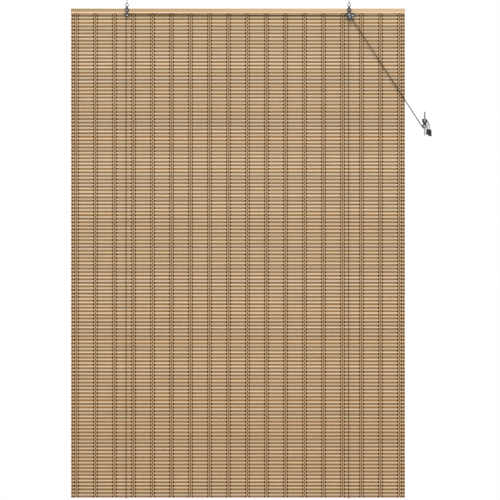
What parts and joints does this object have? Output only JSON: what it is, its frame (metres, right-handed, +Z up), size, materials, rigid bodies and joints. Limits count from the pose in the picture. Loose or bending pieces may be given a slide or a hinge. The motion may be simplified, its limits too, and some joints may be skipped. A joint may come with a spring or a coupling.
{
  "type": "bamboo roller blind",
  "caption": "Woven bamboo slat mat under a wooden batten, hung from ceiling hooks and rolled up by cords that run over pulleys to a wall cleat.",
  "frame": {"origin": "midway between the two ceiling hooks, on the ceiling line where their collars sit", "axes": "+Z up, +X to the viewer's right, -Y the front of the blind"},
  "size_m": [1.6191, 0.0455, 2.2466],
  "materials": {
    "bamboo": "matt, with dark and light slats",
    "batten_wood": "planed, matt",
    "yarn": "twined yarn",
    "cord": "braided brown cord",
    "bright_wire": "bright plated",
    "hanger_metal": "dark, satin",
    "steel": "satin",
    "pulley_metal": "dark, satin",
    "wheel_plastic": "matt",
    "cleat_metal": "grey, satin",
    "black_plastic": "glossy",
    "grey_plastic": "satin"
  },
  "bodies": {
    "ceiling": {"ceiling_hook_left": "bright_wire", "ceiling_hook_right": "bright_wire", "cord_cleat": "cleat_metal", "cleat_screws": "steel", "cleat_winding": "cord", "cord_tail_black": "cord", "cord_tail_grey": "cord", "pull_black": "black_plastic", "pull_grey": "grey_plastic", "pull_knots": "cord"},
    "batten": {"top_batten": "batten_wood", "mat_head": "bamboo", "hanger_left": "hanger_metal", "hanger_right": "hanger_metal", "hanger_screws": "steel", "staples": "steel", "pulley_frame_left": "pulley_metal", "pulley_frame_right": "pulley_metal", "pulley_axle_left": "steel", "pulley_axle_right": "steel", "guide_pin": "steel", "pulley_screws": "steel", "lift_cord_left": "cord", "lift_cord_right": "cord", "cord_end_knots": "cord", "warp_yarns_front": "yarn", "warp_yarns_back": "yarn"},
    "wheel_left": {"pulley_wheel_left": "wheel_plastic"},
    "wheel_right_rear": {"pulley_wheel_right_rear": "wheel_plastic"},
    "wheel_right_front": {"pulley_wheel_right_front": "wheel_plastic"},
    "section_01": {"mat_section_01": "bamboo"},
    "section_02": {"mat_section_02": "bamboo"},
    "section_03": {"mat_section_03": "bamboo"},
    "section_04": {"mat_section_04": "bamboo"},
    "section_05": {"mat_section_05": "bamboo"},
    "section_06": {"mat_section_06": "bamboo"},
    "section_07": {"mat_section_07": "bamboo"},
    "section_08": {"mat_section_08": "bamboo"},
    "section_09": {"mat_section_09": "bamboo"},
    "section_10": {"mat_section_10": "bamboo"},
    "section_11": {"mat_section_11": "bamboo"},
    "section_12": {"mat_section_12": "bamboo"},
    "section_13": {"mat_section_13": "bamboo"},
    "section_14": {"mat_section_14": "bamboo"},
    "section_15": {"mat_section_15": "bamboo"},
    "section_16": {"mat_section_16": "bamboo"},
    "section_17": {"mat_section_17": "bamboo"},
    "section_18": {"mat_section_18": "bamboo"},
    "section_19": {"mat_section_19": "bamboo"},
    "section_20": {"mat_section_20": "bamboo"},
    "section_21": {"mat_section_21": "bamboo"},
    "section_22": {"mat_section_22": "bamboo"},
    "section_23": {"mat_section_23": "bamboo"},
    "section_24": {"mat_section_24": "bamboo"},
    "section_25": {"mat_section_25": "bamboo"},
    "section_26": {"mat_section_26": "bamboo"},
    "section_27": {"mat_section_27": "bamboo"},
    "section_28": {"mat_section_28": "bamboo"}
  },
  "joints": [
    {"name": "swing", "type": "hinge", "parent": "ceiling", "child": "batten", "pos_m": [0, 0, -0.0152], "axis": [1, 0, 0], "range_deg": [-15, 15], "deforming": ["lift_cord_left", "lift_cord_right"]},
    {"name": "wheel_left_spin", "type": "hinge", "parent": "batten", "child": "wheel_left", "pos_m": [-0.498, -0.0052, -0.054], "axis": [0, 1, 0], "continuous": true},
    {"name": "wheel_right_rear_spin", "type": "hinge", "parent": "batten", "child": "wheel_right_rear", "pos_m": [0.5015, -0.0052, -0.063], "axis": [0, 1, 0], "continuous": true},
    {"name": "wheel_right_front_spin", "type": "hinge", "parent": "batten", "child": "wheel_right_front", "pos_m": [0.5015, -0.0116, -0.063], "axis": [0, 1, 0], "continuous": true},
    {"name": "roll_up", "type": "hinge", "parent": "batten", "child": "section_01", "pos_m": [0, 0.0017, -0.156], "axis": [1, 0, 0], "range_deg": [0, 19.9], "deforming": ["lift_cord_left", "lift_cord_right", "warp_yarns_front", "warp_yarns_back"]},
    {"name": "roll_02", "type": "hinge", "parent": "section_01", "child": "section_02", "pos_m": [0, 0.0017, -0.236], "axis": [1, 0, 0], "range_deg": [0, 40.14]},
    {"name": "roll_03", "type": "hinge", "parent": "section_02", "child": "section_03", "pos_m": [0, 0.0017, -0.316], "axis": [1, 0, 0], "range_deg": [0, 40.83]},
    {"name": "roll_04", "type": "hinge", "parent": "section_03", "child": "section_04", "pos_m": [0, 0.0017, -0.396], "axis": [1, 0, 0], "range_deg": [0, 41.56]},
    {"name": "roll_05", "type": "hinge", "parent": "section_04", "child": "section_05", "pos_m": [0, 0.0017, -0.476], "axis": [1, 0, 0], "range_deg": [0, 42.33]},
    {"name": "roll_06", "type": "hinge", "parent": "section_05", "child": "section_06", "pos_m": [0, 0.0017, -0.556], "axis": [1, 0, 0], "range_deg": [0, 43.16]},
    {"name": "roll_07", "type": "hinge", "parent": "section_06", "child": "section_07", "pos_m": [0, 0.0017, -0.636], "axis": [1, 0, 0], "range_deg": [0, 44.04]},
    {"name": "roll_08", "type": "hinge", "parent": "section_07", "child": "section_08", "pos_m": [0, 0.0017, -0.716], "axis": [1, 0, 0], "range_deg": [0, 44.98]},
    {"name": "roll_09", "type": "hinge", "parent": "section_08", "child": "section_09", "pos_m": [0, 0.0017, -0.796], "axis": [1, 0, 0], "range_deg": [0, 45.99]},
    {"name": "roll_10", "type": "hinge", "parent": "section_09", "child": "section_10", "pos_m": [0, 0.0017, -0.876], "axis": [1, 0, 0], "range_deg": [0, 47.09]},
    {"name": "roll_11", "type": "hinge", "parent": "section_10", "child": "section_11", "pos_m": [0, 0.0017, -0.956], "axis": [1, 0, 0], "range_deg": [0, 48.27]},
    {"name": "roll_12", "type": "hinge", "parent": "section_11", "child": "section_12", "pos_m": [0, 0.0017, -1.036], "axis": [1, 0, 0], "range_deg": [0, 49.57]},
    {"name": "roll_13", "type": "hinge", "parent": "section_12", "child": "section_13", "pos_m": [0, 0.0017, -1.116], "axis": [1, 0, 0], "range_deg": [0, 50.99]},
    {"name": "roll_14", "type": "hinge", "parent": "section_13", "child": "section_14", "pos_m": [0, 0.0017, -1.196], "axis": [1, 0, 0], "range_deg": [0, 52.55]},
    {"name": "roll_15", "type": "hinge", "parent": "section_14", "child": "section_15", "pos_m": [0, 0.0017, -1.276], "axis": [1, 0, 0], "range_deg": [0, 54.29]},
    {"name": "roll_16", "type": "hinge", "parent": "section_15", "child": "section_16", "pos_m": [0, 0.0017, -1.356], "axis": [1, 0, 0], "range_deg": [0, 56.23]},
    {"name": "roll_17", "type": "hinge", "parent": "section_16", "child": "section_17", "pos_m": [0, 0.0017, -1.436], "axis": [1, 0, 0], "range_deg": [0, 58.44]},
    {"name": "roll_18", "type": "hinge", "parent": "section_17", "child": "section_18", "pos_m": [0, 0.0017, -1.516], "axis": [1, 0, 0], "range_deg": [0, 60.98]},
    {"name": "roll_19", "type": "hinge", "parent": "section_18", "child": "section_19", "pos_m": [0, 0.0017, -1.596], "axis": [1, 0, 0], "range_deg": [0, 63.93]},
    {"name": "roll_20", "type": "hinge", "parent": "section_19", "child": "section_20", "pos_m": [0, 0.0017, -1.676], "axis": [1, 0, 0], "range_deg": [0, 67.44]},
    {"name": "roll_21", "type": "hinge", "parent": "section_20", "child": "section_21", "pos_m": [0, 0.0017, -1.756], "axis": [1, 0, 0], "range_deg": [0, 71.73]},
    {"name": "roll_22", "type": "hinge", "parent": "section_21", "child": "section_22", "pos_m": [0, 0.0017, -1.836], "axis": [1, 0, 0], "range_deg": [0, 69.95]},
    {"name": "roll_23", "type": "hinge", "parent": "section_22", "child": "section_23", "pos_m": [0, 0.0017, -1.9], "axis": [1, 0, 0], "range_deg": [0, 67.98]},
    {"name": "roll_24", "type": "hinge", "parent": "section_23", "child": "section_24", "pos_m": [0, 0.0017, -1.964], "axis": [1, 0, 0], "range_deg": [0, 72.91]},
    {"name": "roll_25", "type": "hinge", "parent": "section_24", "child": "section_25", "pos_m": [0, 0.0017, -2.028], "axis": [1, 0, 0], "range_deg": [0, 69.95]},
    {"name": "roll_26", "type": "hinge", "parent": "section_25", "child": "section_26", "pos_m": [0, 0.0017, -2.076], "axis": [1, 0, 0], "range_deg": [0, 66.62]},
    {"name": "roll_27", "type": "hinge", "parent": "section_26", "child": "section_27", "pos_m": [0, 0.0017, -2.124], "axis": [1, 0, 0], "range_deg": [0, 72.04]},
    {"name": "roll_28", "type": "hinge", "parent": "section_27", "child": "section_28", "pos_m": [0, 0.0017, -2.172], "axis": [1, 0, 0], "range_deg": [0, 79.25]}
  ],
  "couplings": [
    {"joint": "roll_02", "follows": "roll_up", "ratio": 2.0168},
    {"joint": "roll_03", "follows": "roll_up", "ratio": 2.0514},
    {"joint": "roll_04", "follows": "roll_up", "ratio": 2.088},
    {"joint": "roll_05", "follows": "roll_up", "ratio": 2.1268},
    {"joint": "roll_06", "follows": "roll_up", "ratio": 2.1682},
    {"joint": "roll_07", "follows": "roll_up", "ratio": 2.2124},
    {"joint": "roll_08", "follows": "roll_up", "ratio": 2.2598},
    {"joint": "roll_09", "follows": "roll_up", "ratio": 2.3107},
    {"joint": "roll_10", "follows": "roll_up", "ratio": 2.3657},
    {"joint": "roll_11", "follows": "roll_up", "ratio": 2.4253},
    {"joint": "roll_12", "follows": "roll_up", "ratio": 2.4903},
    {"joint": "roll_13", "follows": "roll_up", "ratio": 2.5616},
    {"joint": "roll_14", "follows": "roll_up", "ratio": 2.6401},
    {"joint": "roll_15", "follows": "roll_up", "ratio": 2.7275},
    {"joint": "roll_16", "follows": "roll_up", "ratio": 2.8254},
    {"joint": "roll_17", "follows": "roll_up", "ratio": 2.9364},
    {"joint": "roll_18", "follows": "roll_up", "ratio": 3.0638},
    {"joint": "roll_19", "follows": "roll_up", "ratio": 3.2122},
    {"joint": "roll_20", "follows": "roll_up", "ratio": 3.3886},
    {"joint": "roll_21", "follows": "roll_up", "ratio": 3.6038},
    {"joint": "roll_22", "follows": "roll_up", "ratio": 3.5145},
    {"joint": "roll_23", "follows": "roll_up", "ratio": 3.4157},
    {"joint": "roll_24", "follows": "roll_up", "ratio": 3.6632},
    {"joint": "roll_25", "follows": "roll_up", "ratio": 3.5147},
    {"joint": "roll_26", "follows": "roll_up", "ratio": 3.3471},
    {"joint": "roll_27", "follows": "roll_up", "ratio": 3.6196},
    {"joint": "roll_28", "follows": "roll_up", "ratio": 3.982}
  ]
}
